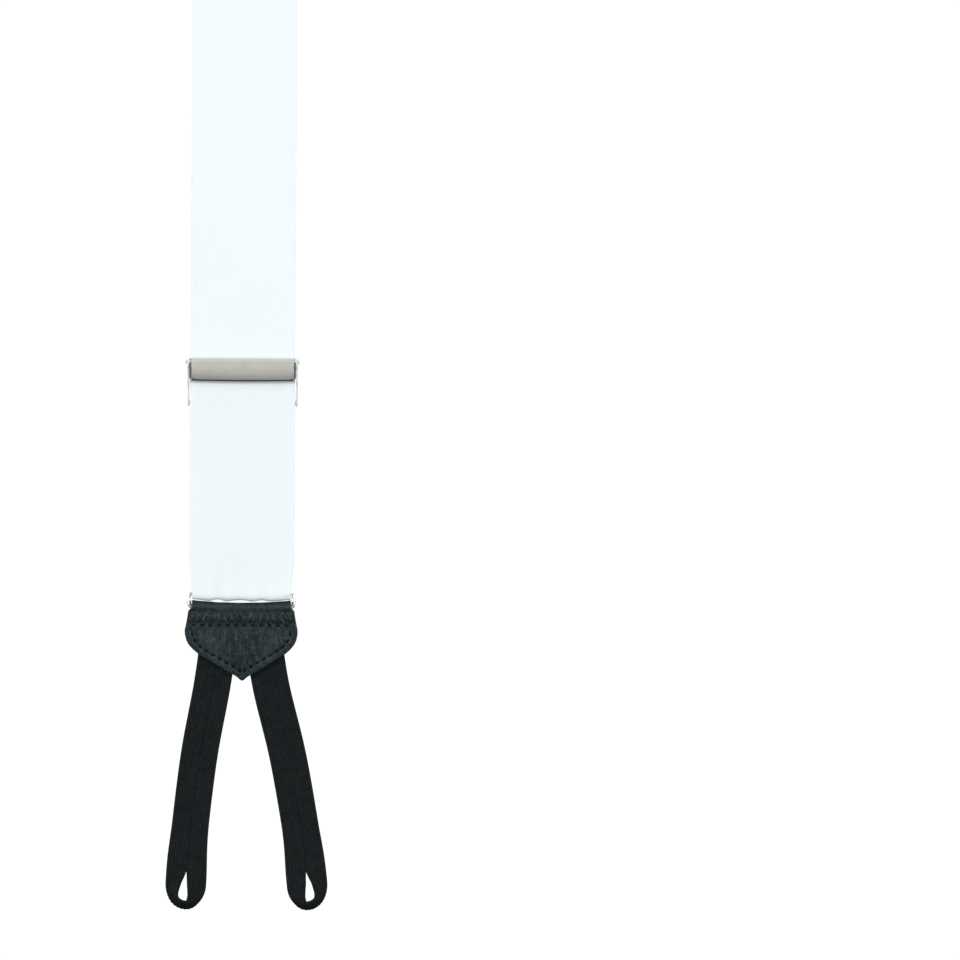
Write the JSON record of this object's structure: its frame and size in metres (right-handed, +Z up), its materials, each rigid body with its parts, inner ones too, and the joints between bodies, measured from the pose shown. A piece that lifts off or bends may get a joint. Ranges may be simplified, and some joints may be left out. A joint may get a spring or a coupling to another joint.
{
  "type": "button-on suspenders",
  "caption": "Y-back trouser suspenders: satin ribbon straps with lever adjusters, wire rings, folded leather tabs and braided button loops.",
  "frame": {"origin": "midway between the wearer's shoulders, level with the top of the straps", "axes": "+Z up, the wearer faces -Y, +X is the wearer's left"},
  "size_m": [0.3194, 0.1355, 0.5815],
  "materials": {
    "ribbon": "white satin-faced ribbon with a fine diagonal twill",
    "elastic": "white woven elastic with lengthwise ribs",
    "nickel": "satin nickel plate",
    "ring_wire": "polished nickel wire",
    "leather": "black grained leather with a soft sheen",
    "braid": "black flat-braided rayon cord"
  },
  "bodies": {
    "straps": {"left_ribbon": "ribbon", "right_ribbon": "ribbon", "y_patch_outer": "leather", "y_patch_inner": "leather"},
    "left_end": {"left_ribbon_front": "ribbon"},
    "left_adjuster": {"left_adjuster_frame": "nickel", "left_lever_pin": "nickel", "left_ribbon_return": "ribbon"},
    "left_lever": {"left_adjuster_lever": "nickel"},
    "left_ring": {"left_ring": "ring_wire"},
    "left_tab": {"left_tab_leather": "leather", "left_braid_inner": "braid", "left_braid_outer": "braid"},
    "right_end": {"right_ribbon_front": "ribbon"},
    "right_adjuster": {"right_adjuster_frame": "nickel", "right_lever_pin": "nickel", "right_ribbon_return": "ribbon"},
    "right_lever": {"right_adjuster_lever": "nickel"},
    "right_ring": {"right_ring": "ring_wire"},
    "right_tab": {"right_tab_leather": "leather", "right_braid_inner": "braid", "right_braid_outer": "braid"},
    "back_end": {"elastic": "elastic"},
    "back_ring": {"back_ring": "ring_wire"},
    "back_tab": {"back_tab_leather": "leather", "back_braid_left": "braid", "back_braid_right": "braid"}
  },
  "joints": [
    {"name": "left_strap_length", "type": "slide", "parent": "straps", "child": "left_end", "axis": [0, 0, 1], "range_m": [-0.05, 0.09], "deforming": ["left_ribbon_front"]},
    {"name": "left_adjuster_slide", "type": "slide", "parent": "left_end", "child": "left_adjuster", "axis": [0, 0, 1], "range_m": [-0.05, 0.09], "deforming": ["left_ribbon_return"]},
    {"name": "left_lever_hinge", "type": "hinge", "parent": "left_adjuster", "child": "left_lever", "pos_m": [0.128, -0.0672, -0.3782], "axis": [-1, 0, 0], "range_deg": [0, 95]},
    {"name": "left_ring_pivot", "type": "hinge", "parent": "left_end", "child": "left_ring", "pos_m": [0.128, -0.0635, -0.462], "axis": [1, 0, 0], "range_deg": [-60, 60]},
    {"name": "left_tab_pivot", "type": "hinge", "parent": "left_ring", "child": "left_tab", "pos_m": [0.128, -0.0635, -0.467], "axis": [1, 0, 0], "range_deg": [-75, 75]},
    {"name": "right_strap_length", "type": "slide", "parent": "straps", "child": "right_end", "axis": [0, 0, 1], "range_m": [-0.05, 0.09], "deforming": ["right_ribbon_front"]},
    {"name": "right_adjuster_slide", "type": "slide", "parent": "right_end", "child": "right_adjuster", "axis": [0, 0, 1], "range_m": [-0.05, 0.09], "deforming": ["right_ribbon_return"]},
    {"name": "right_lever_hinge", "type": "hinge", "parent": "right_adjuster", "child": "right_lever", "pos_m": [-0.128, -0.0672, -0.3782], "axis": [-1, 0, 0], "range_deg": [0, 95]},
    {"name": "right_ring_pivot", "type": "hinge", "parent": "right_end", "child": "right_ring", "pos_m": [-0.128, -0.0635, -0.462], "axis": [1, 0, 0], "range_deg": [-60, 60]},
    {"name": "right_tab_pivot", "type": "hinge", "parent": "right_ring", "child": "right_tab", "pos_m": [-0.128, -0.0635, -0.467], "axis": [1, 0, 0], "range_deg": [-75, 75]},
    {"name": "elastic_stretch", "type": "slide", "parent": "straps", "child": "back_end", "axis": [0, 0, -1], "range_m": [0, 0.06], "stiffness_N_per_m": 150, "deforming": ["elastic"]},
    {"name": "back_ring_pivot", "type": "hinge", "parent": "back_end", "child": "back_ring", "pos_m": [0, 0.0622, -0.462], "axis": [1, 0, 0], "range_deg": [-60, 60]},
    {"name": "back_tab_pivot", "type": "hinge", "parent": "back_ring", "child": "back_tab", "pos_m": [0, 0.0622, -0.467], "axis": [1, 0, 0], "range_deg": [-75, 75]}
  ],
  "couplings": [
    {"joint": "left_adjuster_slide", "follows": "left_strap_length", "ratio": 1},
    {"joint": "right_adjuster_slide", "follows": "right_strap_length", "ratio": 1}
  ]
}
